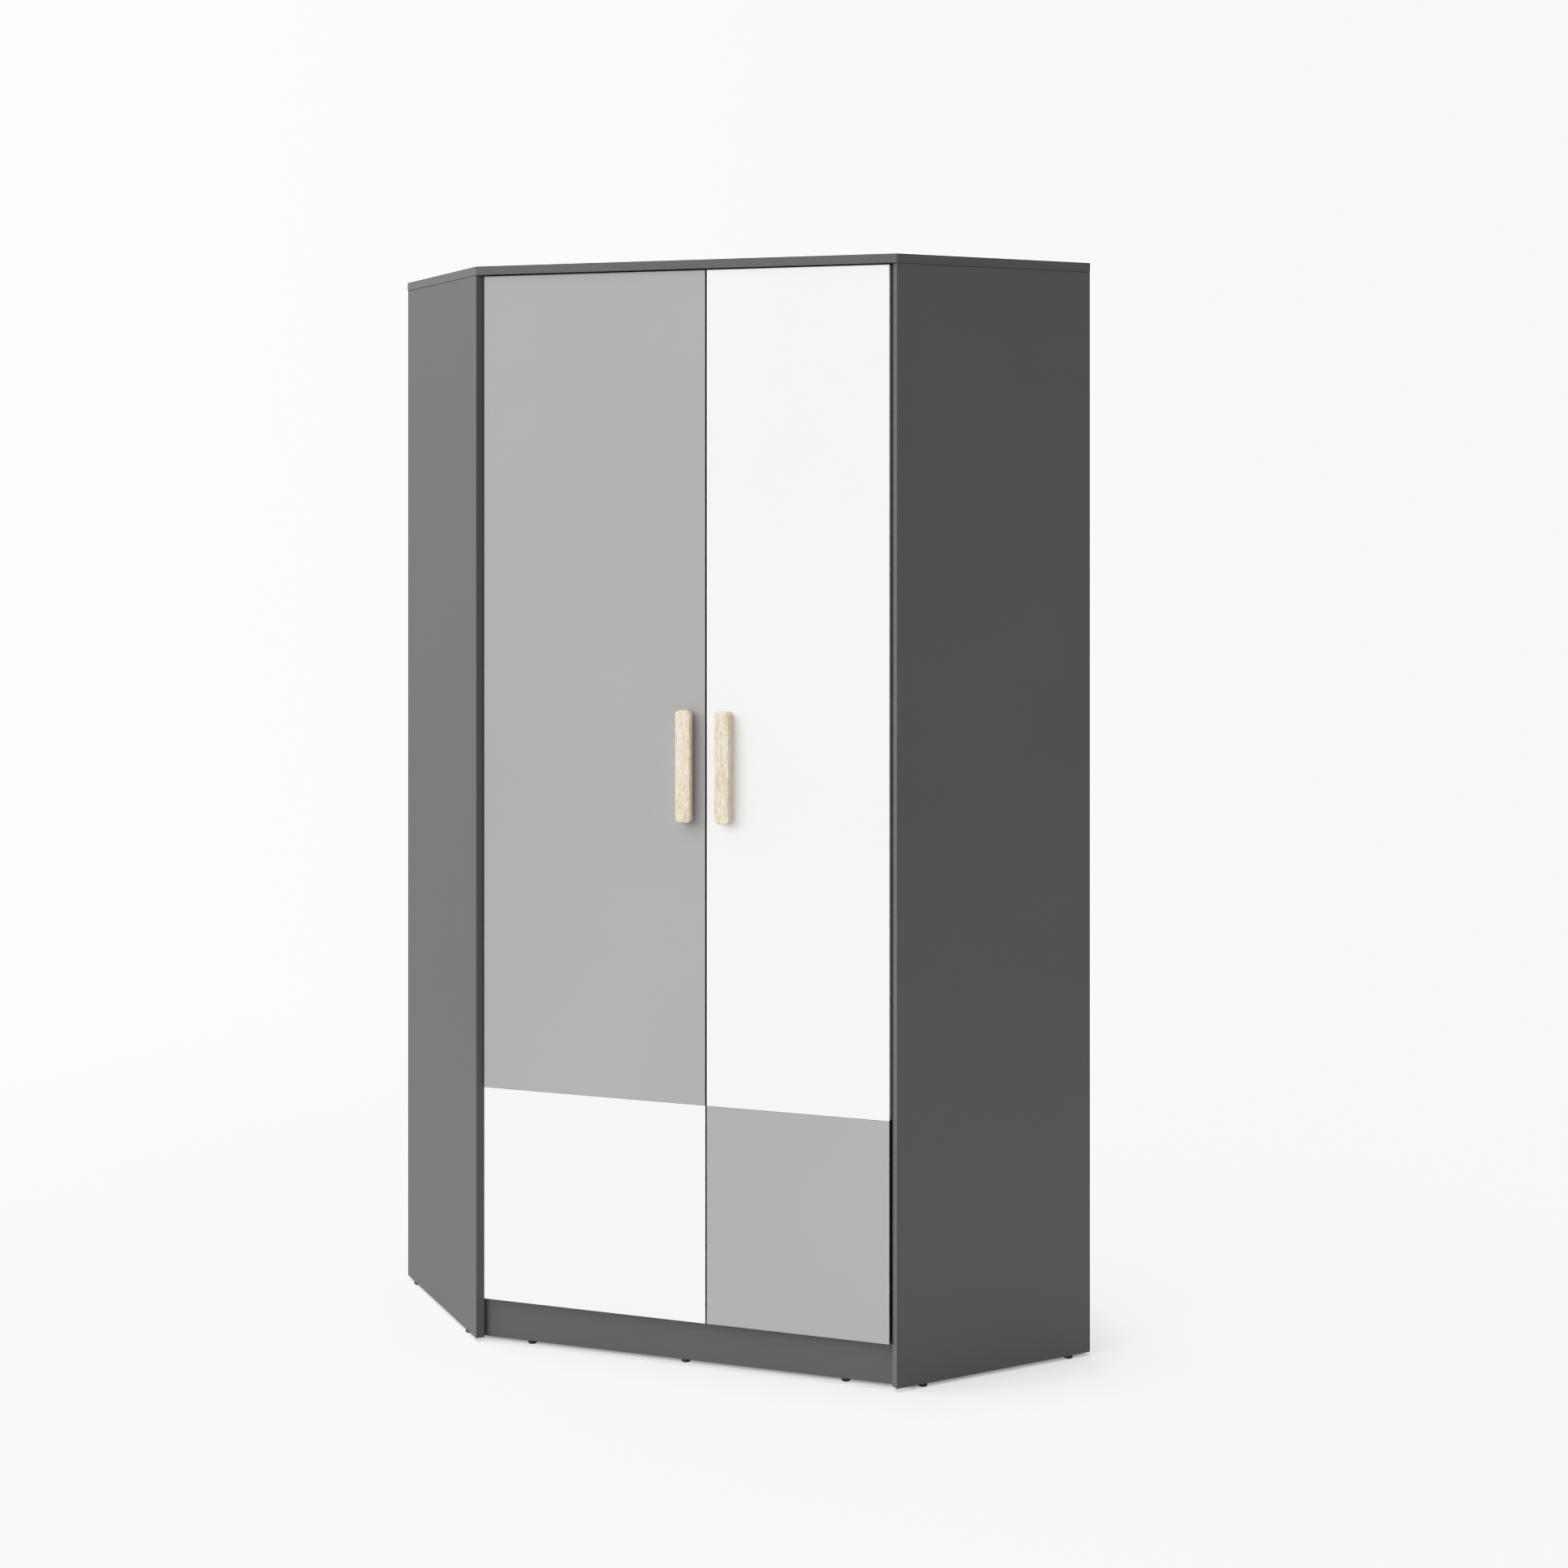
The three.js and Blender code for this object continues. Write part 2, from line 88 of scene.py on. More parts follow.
def noise(tree, vector, scale, detail=2.0, roughness=0.5, distortion=0.0):
    node = tree.nodes.new("ShaderNodeTexNoise")
    tree.links.new(vector, node.inputs["Vector"])
    node.inputs["Scale"].default_value = scale
    node.inputs["Detail"].default_value = detail
    node.inputs["Roughness"].default_value = roughness
    node.inputs["Distortion"].default_value = distortion
    return node.outputs["Fac"]


def spread(tree, value, low, high, new_low=0.0, new_high=1.0):
    node = tree.nodes.new("ShaderNodeMapRange")
    node.interpolation_type = "SMOOTHSTEP"
    for i, item in enumerate((value, low, high, new_low, new_high)):
        set_input(tree, node.inputs[i], item)
    return node.outputs[0]


def mix(tree, amount, first, second):
    node = tree.nodes.new("ShaderNodeMix")
    node.data_type = "RGBA"
    set_input(tree, node.inputs["Factor"], amount)
    for i, value in ((6, first), (7, second)):
        set_input(tree, node.inputs[i], value)
    return node.outputs[2]


def bump(tree, height, strength, distance):
    node = tree.nodes.new("ShaderNodeBump")
    node.inputs["Strength"].default_value = strength
    node.inputs["Distance"].default_value = distance
    tree.links.new(height, node.inputs["Height"])
    return node.outputs[0]


def tone(colour, factor=1.0):
    return (colour[0] * factor, colour[1] * factor, colour[2] * factor, 1.0)


def new_material(name, metallic=0.0, specular=0.5):
    material = bpy.data.materials.new(name)
    material.use_nodes = True
    tree = material.node_tree
    shader = tree.nodes["Principled BSDF"]
    shader.inputs["Metallic"].default_value = metallic
    shader.inputs["Specular IOR Level"].default_value = specular
    place = tree.nodes.new("ShaderNodeTexCoord")
    return material, tree, shader, place.outputs["Object"], place.outputs["Normal"]


# Planes of the edges that bound a board, found from its own side faces
def edge_planes(node, thin):
    mesh = nodes[node].data
    points = [vertex.co for vertex in mesh.vertices]
    planes = []
    for face in mesh.polygons:
        normal = face.normal
        if abs(normal.dot(thin)) > 0.1:
            continue
        offset = normal.dot(mesh.vertices[face.vertices[0]].co)
        if max(normal.dot(point) for point in points) > offset + 1e-5:
            continue
        if all((normal - other).length > 1e-3 for other, _ in planes):
            planes.append((normal.copy(), offset))
    return planes


# Shelf-pin holes, in metres: height of the lowest, half their pitch, and where the columns begin and end
HOLE_START = 0.204
HALF_PITCH = 0.016
HOLE_LOW = (0.183, 0.186)
HOLE_HIGH = (1.801, 1.798)


# Columns of 5 mm shelf-pin holes on the side that faces one way, drawn as near-black dots: painted shade in
# the hole recesses
def pin_hole_shade(tree, at, normal, facing, columns):
    part = tree.nodes.new("ShaderNodeSeparateXYZ")
    tree.links.new(at, part.inputs[0])
    above_start = math_node(tree, "SUBTRACT", part.outputs["Z"], HOLE_START)
    step = math_node(tree, "PINGPONG", above_start, HALF_PITCH)
    radius = None
    for column in columns:
        across = math_node(tree, "SUBTRACT", part.outputs["X"], column)
        square = math_node(tree, "MULTIPLY", across, across)
        square = math_node(tree, "ADD", square, math_node(tree, "MULTIPLY", step, step))
        away = math_node(tree, "SQRT", square)
        radius = away if radius is None else math_node(tree, "MINIMUM", radius, away)
    inside = spread(tree, radius, 0.0026, 0.0023)
    inside = math_node(tree, "MULTIPLY", inside, spread(tree, dot(tree, normal, facing), 0.6, 0.8))
    inside = math_node(tree, "MULTIPLY", inside, spread(tree, part.outputs["Z"], *HOLE_LOW))
    return math_node(tree, "MULTIPLY", inside, spread(tree, part.outputs["Z"], *HOLE_HIGH))


# Tone of an edge band against its board, and the near-black tone of the grey boards' edge faces, which is
# painted shade that darkens the gaps between the doors
BAND_TONE = 0.97
GAP_SHADE_RIM = 0.1


# Melamine-faced board: faint mottle, pebbled face, 0.9 mm edge band with its glue line, rubbed edges, edge
# faces in the rim tone (painted shade on grey door boards), painted shade of pin holes where asked
def laminate(name, node, thin, colour, roughness=0.5, rim=BAND_TONE, hole_shade=None):
    material, tree, shader, at, normal = new_material(name, specular=0.3)
    cloud = noise(tree, at, 2.6, 4.0)
    fine = noise(tree, at, 420.0, 3.0, 0.6)
    pebble = noise(tree, at, 1300.0, 1.0)
    face = mix(tree, spread(tree, cloud, 0.3, 0.7), tone(colour, 0.975), tone(colour, 1.02))
    face = mix(tree, spread(tree, fine, 0.35, 0.75, 0.0, 0.35), face, tone(colour, 0.93))
    inside = None
    for direction, offset in edge_planes(node, thin):
        gap = math_node(tree, "SUBTRACT", offset, dot(tree, at, direction))
        inside = gap if inside is None else math_node(tree, "MINIMUM", inside, gap)
    on_edge = spread(tree, math_node(tree, "ABSOLUTE", dot(tree, normal, thin)), 0.75, 0.6)
    on_band = math_node(tree, "MAXIMUM", spread(tree, inside, 0.00095, 0.00085), on_edge)
    line_start = spread(tree, inside, 0.0008, 0.00095)
    line_end = spread(tree, inside, 0.0012, 0.00105)
    line = math_node(tree, "MULTIPLY", line_start, line_end)
    line = math_node(tree, "SUBTRACT", line, on_edge)
    near_edge = spread(tree, inside, 0.004, 0.0)
    worn = math_node(tree, "MULTIPLY", near_edge, spread(tree, fine, 0.5, 0.8, 0.0, 0.25))
    face = mix(tree, on_band, face, tone(colour, BAND_TONE))
    # Edge faces in the rim tone; the near-black rim of the grey boards is painted shade for the gaps
    face = mix(tree, on_edge, face, tone(colour, rim))
    face = mix(tree, worn, face, tone(colour, 1.25))
    face = mix(tree, math_node(tree, "MULTIPLY", line, 0.5), face, tone(colour, 0.6))
    # Painted shade: shelf-pin holes drawn as near-black dots in the colour
    if hole_shade is not None:
        face = mix(tree, pin_hole_shade(tree, at, normal, *hole_shade), face, (0.012, 0.01, 0.008, 1.0))
    tree.links.new(face, shader.inputs["Base Color"])
    rough = spread(tree, cloud, 0.25, 0.75, roughness - 0.03, roughness + 0.04)
    rough = math_node(tree, "SUBTRACT", rough, math_node(tree, "MULTIPLY", on_band, 0.07))
    tree.links.new(rough, shader.inputs["Roughness"])
    height = math_node(tree, "ADD", pebble, math_node(tree, "MULTIPLY", fine, 0.6))
    tree.links.new(bump(tree, height, 0.12, 0.00006), shader.inputs["Normal"])
    return material


X_AXIS = Vector((1.0, 0.0, 0.0))
Y_AXIS = Vector((0.0, 1.0, 0.0))
Z_AXIS = Vector((0.0, 0.0, 1.0))
GRAPHITE = (0.0895, 0.0895, 0.09)
GREY = (0.34, 0.34, 0.34)
WHITE = (0.86, 0.86, 0.855)


def finish_board(node, material, width=0.4):
    board = nodes[node]
    for spot in board.material_slots:
        spot.material = material
    weld = board.modifiers.new("weld", "WELD")
    weld.merge_threshold = 0.00001
    edge = board.modifiers.new("edge", "BEVEL")
    edge.width = width * MM
    edge.segments = 3
    edge.limit_method = "ANGLE"
    edge.angle_limit = math.radians(35)
    shade = board.modifiers.new("shade", "WEIGHTED_NORMAL")
    shade.keep_sharp = True


carcass_boards = {
    "left_side_panel": X_AXIS, "right_side_panel": Y_AXIS, "rear_stile_left": Y_AXIS,
    "rear_stile_right": X_AXIS, "top_board": Z_AXIS, "bottom_board": Z_AXIS, "plinth_board": INWARD,
    "partition_panel": Y_AXIS, "hat_shelf": Z_AXIS, "side_shelf_1": Z_AXIS, "side_shelf_2": Z_AXIS,
    "side_shelf_3": Z_AXIS, "side_shelf_4": Z_AXIS,
}
# Where the painted shade of the shelf-pin holes goes: the side it faces and its columns
hole_shade_rows = {
    "right_side_panel": (Y_AXIS, (0.152, 0.418)),
    "partition_panel": (-Y_AXIS, (-0.085, 0.418)),
}
for node, thin in carcass_boards.items():
    finish_board(node, laminate("graphite_" + node, node, thin, GRAPHITE, hole_shade=hole_shade_rows.get(node)))

door_boards = {
    "left_door_upper_board": GREY, "left_door_lower_board": WHITE,
    "right_door_upper_board": WHITE, "right_door_lower_board": GREY,
}
for node, colour in door_boards.items():
    # Grey door boards get a near-black rim: painted shade that darkens the gaps between the doors
    rim = GAP_SHADE_RIM if colour is GREY else BAND_TONE
    finish_board(node, laminate("face_" + node, node, INWARD, colour, 0.48, rim=rim), 0.25)


# Thin backs: raw fibreboard towards the wall, white foil inside
def fibreboard(name, outward):
    material, tree, shader, at, normal = new_material(name, specular=0.25)
    blotch = noise(tree, at, 14.0, 5.0, 0.6)
    fibre = noise(tree, stretched(tree, at, (1.0, 1.0, 0.25)), 700.0, 4.0, 0.65)
    raw = mix(tree, spread(tree, blotch, 0.3, 0.7), (0.31, 0.215, 0.13, 1.0), (0.35, 0.245, 0.15, 1.0))
    raw = mix(tree, spread(tree, fibre, 0.4, 0.7, 0.0, 0.55), raw, (0.19, 0.12, 0.07, 1.0))
    foil = mix(tree, spread(tree, blotch, 0.2, 0.8), (0.72, 0.72, 0.71, 1.0), (0.76, 0.76, 0.75, 1.0))
    indoors = spread(tree, dot(tree, normal, outward), -0.6, -0.8)
    tree.links.new(mix(tree, indoors, raw, foil), shader.inputs["Base Color"])
    tree.links.new(spread(tree, fibre, 0.2, 0.8, 0.55, 0.85), shader.inputs["Roughness"])
    tree.links.new(bump(tree, fibre, 0.35, 0.0001), shader.inputs["Normal"])
    return material


finish_board("back_panel_left", fibreboard("fibreboard_left", Y_AXIS), 0.2)
finish_board("back_panel_right", fibreboard("fibreboard_right", X_AXIS), 0.2)


def metal(name, colour, roughness, streak, stretch):
    material, tree, shader, at, _ = new_material(name, metallic=1.0)
    drawn = noise(tree, stretched(tree, at, stretch), 260.0, 3.0, 0.6)
    cloud = noise(tree, at, 38.0, 3.0)
    tint = mix(tree, spread(tree, cloud, 0.3, 0.7), tone(colour, 0.9), tone(colour, 1.06))
    tree.links.new(tint, shader.inputs["Base Color"])
    rough = math_node(tree, "ADD", spread(tree, cloud, 0.2, 0.8, -0.04, 0.06), roughness)
    tree.links.new(rough, shader.inputs["Roughness"])
    tree.links.new(bump(tree, drawn, streak, 0.00005), shader.inputs["Normal"])
    return material


def plastic(name, colour, roughness):
    material, tree, shader, at, _ = new_material(name, specular=0.4)
    grain = noise(tree, at, 1800.0, 2.0)
    cloud = noise(tree, at, 60.0, 3.0)
    tint = mix(tree, spread(tree, cloud, 0.3, 0.7), tone(colour, 0.88), tone(colour, 1.1))
    tree.links.new(tint, shader.inputs["Base Color"])
    rough = spread(tree, cloud, 0.2, 0.8, roughness - 0.05, roughness + 0.08)
    tree.links.new(rough, shader.inputs["Roughness"])
    tree.links.new(bump(tree, grain, 0.25, 0.00008), shader.inputs["Normal"])
    return material


# Pale hardwood with its grain along Z of the handle, cut from another place for each handle
def pale_wood(name, place):
    material, tree, shader, at, _ = new_material(name, specular=0.35)
    at = stretched(tree, at, (1.0, 1.0, 1.0), place=place)
    sway = stretched(tree, at, (1.0, 1.0, 0.12))
    year = noise(tree, sway, 210.0, 3.0, 0.55, 0.8)
    streak = noise(tree, stretched(tree, at, (1.0, 1.0, 0.12)), 620.0, 3.0, 0.7, 0.2)
    pore = noise(tree, stretched(tree, at, (1.0, 1.0, 0.14)), 1250.0, 1.0)
    patch = noise(tree, stretched(tree, at, (1.0, 1.0, 0.3)), 60.0, 2.0)
    wood = mix(tree, spread(tree, year, 0.36, 0.64), (0.74, 0.655, 0.525, 1.0), (0.65, 0.555, 0.425, 1.0))
    wood = mix(tree, spread(tree, streak, 0.43, 0.64, 0.0, 0.95), wood, (0.48, 0.39, 0.27, 1.0))
    wood = mix(tree, spread(tree, patch, 0.35, 0.7, 0.0, 0.3), wood, (0.78, 0.715, 0.59, 1.0))
    wood = mix(tree, spread(tree, pore, 0.6, 0.68, 0.0, 0.7), wood, (0.36, 0.27, 0.165, 1.0))
    tree.links.new(wood, shader.inputs["Base Color"])
    tree.links.new(spread(tree, streak, 0.3, 0.8, 0.42, 0.58), shader.inputs["Roughness"])
    pit = math_node(tree, "MULTIPLY", spread(tree, pore, 0.6, 0.75), 0.8)
    height = math_node(tree, "SUBTRACT", streak, pit)
    tree.links.new(bump(tree, height, 0.3, 0.00012), shader.inputs["Normal"])
    return material


nickel = metal("nickel", (0.60, 0.59, 0.565), 0.27, 0.2, (1.0, 1.0, 0.08))
zinc = metal("zinc", (0.52, 0.53, 0.54), 0.38, 0.35, (0.1, 0.1, 1.0))
chrome = metal("chrome", (0.74, 0.745, 0.75), 0.12, 0.08, (0.05, 1.0, 1.0))
black_plastic = plastic("black_plastic", (0.018, 0.018, 0.019), 0.42)
cap_plastic = plastic("cap_plastic", (0.075, 0.075, 0.077), 0.5)
clear_rubber = plastic("clear_rubber", (0.42, 0.42, 0.41), 0.35)
woods = {
    1: pale_wood("pale_wood_left", (0.31, 0.07, 0.2)),
    -1: pale_wood("pale_wood_right", (0.0, 0.0, 0.0)),
}


# Mesh helpers, in millimetres, placed by a matrix in metres
def arc(x, y, radius, start, end, steps):
    turns = [math.radians(start + (end - start) * i / steps) for i in range(steps + 1)]
    return [(x + radius * math.cos(a), y + radius * math.sin(a)) for a in turns]


# Rings of points round Z; a radius is one number, or one for each of the sides
def lathe(bm, rings, sides, place=Matrix.Identity(4), closed=False):
    loops = []
    for radius, height in rings:
        if radius == 0:
            loops.append([bm.verts.new(place @ Vector((0.0, 0.0, height * MM)))])
            continue
        loop = []
        for i in range(sides):
            a = 2 * math.pi * i / sides
            r = (radius if isinstance(radius, (int, float)) else radius[i]) * MM
            loop.append(bm.verts.new(place @ Vector((r * math.cos(a), r * math.sin(a), height * MM))))
        loops.append(loop)
    pairs = list(zip(loops, loops[1:]))
    if closed:
        pairs.append((loops[-1], loops[0]))
    made = []
    for first, second in pairs:
        for i in range(sides):
            j = (i + 1) % sides
            corners = [first[i % len(first)], first[j % len(first)]]
            corners += [second[j % len(second)], second[i % len(second)]]
            made.append(bm.faces.new(list(dict.fromkeys(corners))))
    bmesh.ops.recalc_face_normals(bm, faces=made)


# A plate: an outline in X and Y drawn from low to high, with its sharp edges rounded
def plate(bm, points, low, high, place=Matrix.Identity(4), soft=0.3, segments=2):
    bottom = [bm.verts.new(place @ Vector((x * MM, y * MM, low * MM))) for x, y in points]
    top = [bm.verts.new(place @ Vector((x * MM, y * MM, high * MM))) for x, y in points]
    faces = [bm.faces.new(bottom[::-1]), bm.faces.new(top)]
    count = len(points)
    for i in range(count):
        j = (i + 1) % count
        faces.append(bm.faces.new([bottom[i], bottom[j], top[j], top[i]]))
    bmesh.ops.recalc_face_normals(bm, faces=faces)
    edges = {edge for face in faces for edge in face.edges}
    sharp = [edge for edge in edges if edge.calc_face_angle(0.0) > math.radians(40)]
    if soft:
        bmesh.ops.bevel(bm, geom=sharp, offset=soft * MM, segments=segments, profile=0.5, affect="EDGES")


def round_box(width, length, radius, steps=5):
    x = width / 2 - radius
    y = length / 2 - radius
    corners = ((x, y, 0), (-x, y, 90), (-x, -y, 180), (x, -y, 270))
    return [point for cx, cy, turn in corners for point in arc(cx, cy, radius, turn, turn + 90, steps)]


CROSS = [0.5, 0.518, 0.268, 0.19, 0.268, 0.518] * 4


# A screw head on the plane Z = 0, facing +Z, with a cross recess
def screw(bm, place, radius, height):
    cross = [value * radius for value in CROSS]
    deep = [value * 0.72 for value in cross]
    rings = [(0, 0), (radius, 0), (radius, height * 0.3), (radius * 0.93, height * 0.7)]
    rings += [(radius * 0.74, height), (cross, height), (deep, height * 0.35), (0, height * 0.2)]
    lathe(bm, rings, 24, place)


def add_piece(name, bm, material, body, place=None, sharp=38):
    mesh = bpy.data.meshes.new(name)
    bm.to_mesh(mesh)
    bm.free()
    mesh.materials.append(material)
    mesh.shade_smooth()
    mesh.set_sharp_from_angle(angle=math.radians(sharp))
    piece = bpy.data.objects.new(name, mesh)
    bpy.context.scene.collection.objects.link(piece)
    if place is not None:
        piece.matrix_world = place
    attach(piece, body)
    return piece


# Places on the front: millimetres along it, into it and up
def on_front(along, inward, height):
    return FRONT @ Matrix.Translation(Vector((along, inward, height)) * MM)


def turned(axis, degrees):
    return Matrix.Rotation(math.radians(degrees), 4, axis)


def at_point(x, y, z):
    return Matrix.Translation(Vector((x, y, z)) * MM)


# Handles: upright rounded bars with a finger groove on the side of the gap between the doors
GAP_CENTRE = 441.8
HANDLE_REACH = 36.0
HANDLE_HEIGHT = 1059.0
DOOR_FACE = 4.0
DOOR_BACK = 20
GROOVE_REACH = 10.0
GROOVE_RADIUS = 4.5


def cut(target, tool):
    step = target.modifiers.new("cut", "BOOLEAN")
    step.operation = "DIFFERENCE"
    step.solver = "EXACT"
    step.object = tool
    bpy.context.view_layer.update()
    solved = bpy.data.meshes.new_from_object(target.evaluated_get(bpy.context.evaluated_depsgraph_get()))
    target.modifiers.remove(step)
    bpy.data.objects.remove(tool)
    target.data = solved


def loose_object(name, bm):
    mesh = bpy.data.meshes.new(name)
    bm.to_mesh(mesh)
    bm.free()
    made = bpy.data.objects.new(name, mesh)
    bpy.context.scene.collection.objects.link(made)
    return made


def make_handle(side, name, node, body, width=28.0, length=197.0, depth=22.0):
    rings = [(0.0, -0.3), (0.0, -depth + 2.8)]
    rings += [(2.8 - x, -depth + 2.8 - y) for x, y in arc(0, 0, 2.8, 0, 90, 8)[1:]]
    bm = bmesh.new()
    loops = []
    for inset, y in rings:
        outline = round_box(width - 2 * inset, length - 2 * inset, 8.0 - inset, 10)
        loops.append([bm.verts.new(Vector((x, y, z)) * MM) for x, z in outline])
    count = len(loops[0])
    for first, second in zip(loops, loops[1:]):
        for i in range(count):
            j = (i + 1) % count
            bm.faces.new([first[i], first[j], second[j], second[i]])
    bm.faces.new(loops[0][::-1])
    bm.faces.new(loops[-1])
    bmesh.ops.recalc_face_normals(bm, faces=bm.faces)
    bar = loose_object(name, bm)
    inner = width / 2 - GROOVE_REACH + GROOVE_RADIUS
    groove = arc(inner, -GROOVE_RADIUS, GROOVE_RADIUS, 270, 90, 12)
    groove = [(width / 2 + 2, 1.0), (inner, 1.0)] + groove[::-1] + [(width / 2 + 2, -2 * GROOVE_RADIUS)]
    points = [(side * x, y) for x, y in groove]
    bm = bmesh.new()
    plate(bm, points, -length, length, soft=0)
    tool = loose_object("groove", bm)
    cut(bar, tool)
    bar.data.name = name
    bar.data.materials.clear()
    bar.data.materials.append(woods[side])
    bar.data.shade_smooth()
    bar.data.set_sharp_from_angle(angle=math.radians(35))
    edge = bar.modifiers.new("edge", "BEVEL")
    edge.width = 0.6 * MM
    edge.segments = 3
    edge.limit_method = "ANGLE"
    edge.angle_limit = math.radians(50)
    bar.matrix_world = on_front(GAP_CENTRE - side * HANDLE_REACH, DOOR_FACE, HANDLE_HEIGHT)
    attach(bar, body)
    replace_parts(bar, node)
    return bar


handles = [
    make_handle(1, "left_handle_bar", "left_door_handle", "left_door"),
    make_handle(-1, "right_handle_bar", "right_door_handle", "right_door"),
]

# Turns an outline's X and Y to Y and Z, and draws it along X
SIDEWAYS = Matrix(((0, 0, 1, 0), (1, 0, 0, 0), (0, 1, 0, 0), (0, 0, 0, 1)))
FACE_IN = turned("X", -90)
FACE_OUT = turned("X", 90)
FACE_DOWN = turned("X", 180)

# Black glides with a nail recess underneath
GLIDE = [(0, 1), (1.7, 1), (2.1, 0.25), (2.8, 0), (6.6, 0), (7.5, 0.4), (8, 1.3), (8, 3)]
GLIDE += [(7.4, 3.4), (7.2, 4.4), (7.6, 4.9), (7.6, 6), (0, 6)]
PANEL_MIDDLE = -469
glides = {
    "left_front": at_point(PANEL_MIDDLE, 138, 0), "left_rear": at_point(PANEL_MIDDLE, 437, 0),
    "right_front": at_point(138, PANEL_MIDDLE, 0), "right_rear": at_point(437, PANEL_MIDDLE, 0),
    "rear_corner": at_point(470, 437, 0), "plinth_left": on_front(99, 28, 0),
    "plinth_middle": on_front(395.28, 28, 0), "plinth_right": on_front(691.55, 28, 0),
}
for name, place in glides.items():
    bm = bmesh.new()
    lathe(bm, GLIDE, 48, place)
    glide = add_piece("glide_" + name, bm, black_plastic, "carcass")
    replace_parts(glide, "foot_" + name)

# Hanging rail with its end caps, and the two brackets that hold it
RAIL_MIDDLE = 260.88
RAIL_SETBACK = 330
RAIL_HEIGHT = 1591
RAIL_REACH = 280
BRACKET_REACH = 220
ALONG_RAIL = turned("Y", 90)
bm = bmesh.new()
tube = [(12.1, -RAIL_REACH), (12.5, -279.6), (12.5, 279.6), (12.1, RAIL_REACH)]
tube += [(11.6, RAIL_REACH), (11.3, 279.7), (11.3, -279.7), (11.6, -RAIL_REACH)]
lathe(bm, tube, 64, ALONG_RAIL, closed=True)
rail_place = on_front(RAIL_MIDDLE, RAIL_SETBACK, RAIL_HEIGHT)
rail = add_piece("rail_tube", bm, chrome, "carcass", rail_place)
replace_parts(rail, "hanging_rail")
bm = bmesh.new()
plug = [(0, -8), (10.4, -8), (11.2, -7), (11.2, 0), (12.5, 0)]
plug += [(12.5, 1.5), (11.9, 2.2), (10.5, 2.6), (0, 2.6)]
for turn, reach in ((90, RAIL_REACH), (-90, -RAIL_REACH)):
    end = on_front(RAIL_MIDDLE + reach, RAIL_SETBACK, RAIL_HEIGHT) @ turned("Y", turn)
    lathe(bm, plug, 48, end)
add_piece("rail_caps", bm, black_plastic, "carcass")

ring = [(12.8, -4.5), (13.2, -5), (15.5, -5), (16, -4.5), (16, 4.5), (15.5, 5), (13.2, 5), (12.8, 4.5)]
stem = [(-8.5, 12.9), (8.5, 12.9), (7.6, 22), (7.6, 42), (8.4, 46.5), (10.4, 50), (12.4, 52.6)]
stem += [(-12.4, 52.6), (-10.4, 50), (-8.4, 46.5), (-7.6, 42), (-7.6, 22)]
for side, reach in (("left", -BRACKET_REACH), ("right", BRACKET_REACH)):
    middle = on_front(RAIL_MIDDLE + reach, RAIL_SETBACK, RAIL_HEIGHT)
    bm = bmesh.new()
    lathe(bm, ring, 64, middle @ ALONG_RAIL, closed=True)
    plate(bm, stem, -2, 2, middle @ SIDEWAYS, 0.6, 3)
    plate(bm, round_box(56, 26, 9, 8), 52.4, 55, middle, 0.6, 3)
    bracket = add_piece("bracket_" + side, bm, nickel, "carcass")
    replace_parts(bracket, "rail_bracket_" + side)
    bm = bmesh.new()
    for across in (-19, 19):
        screw(bm, middle @ at_point(across, 0, 52.4) @ FACE_DOWN, 4.2, 1.6)
    add_piece("bracket_screws_" + side, bm, zinc, "carcass")

# Concealed hinges, drawn from the pin of the left door in millimetres and mirrored for the right door
FRONT_LENGTH = 790.55
PIN_START = 20.814
PIN_LINE = 10.05
CUP_OFFSET = 14.0
CUP_TOP = 11.25
EAR_LOW = CUP_TOP - 1
EAR_HIGH = CUP_TOP - 0.05
PANEL_FACE = -461
MOUNT_REACH = 119
HINGE_HEIGHTS = [sum(end[2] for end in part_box(f"left_door_hinge_{i}_plate")) / 2 / MM for i in range(1, 5)]
ARM_TURN = Vector((-8.595, 14.5, 0.0))
PANEL_WAY = Vector((-HALF, HALF, 0.0))


# Rounds the corners of a path, then widens it to both sides
def ribbon(path, half, reach, steps=6):
    points = [Vector(path[0])]
    for before, corner, after in zip(path, path[1:], path[2:]):
        corner = Vector(corner)
        start = corner + (Vector(before) - corner).normalized() * reach
        end = corner + (Vector(after) - corner).normalized() * reach
        for i in range(steps + 1):
            t = i / steps
            points.append(start * (1 - t) ** 2 + corner * 2 * t * (1 - t) + end * t ** 2)
    points.append(Vector(path[-1]))
    sides = ([], [])
    for i, point in enumerate(points):
        before = (points[max(i, 1)] - points[max(i - 1, 0)]).normalized()
        after = (points[min(i + 1, len(points) - 1)] - points[min(i, len(points) - 2)]).normalized()
        normal = Vector((-before.y - after.y, before.x + after.x)) * half / (1 + before.dot(after))
        sides[0].append(point + normal)
        sides[1].append(point - normal)
    return [tuple(point) for point in sides[0] + sides[1][::-1]]


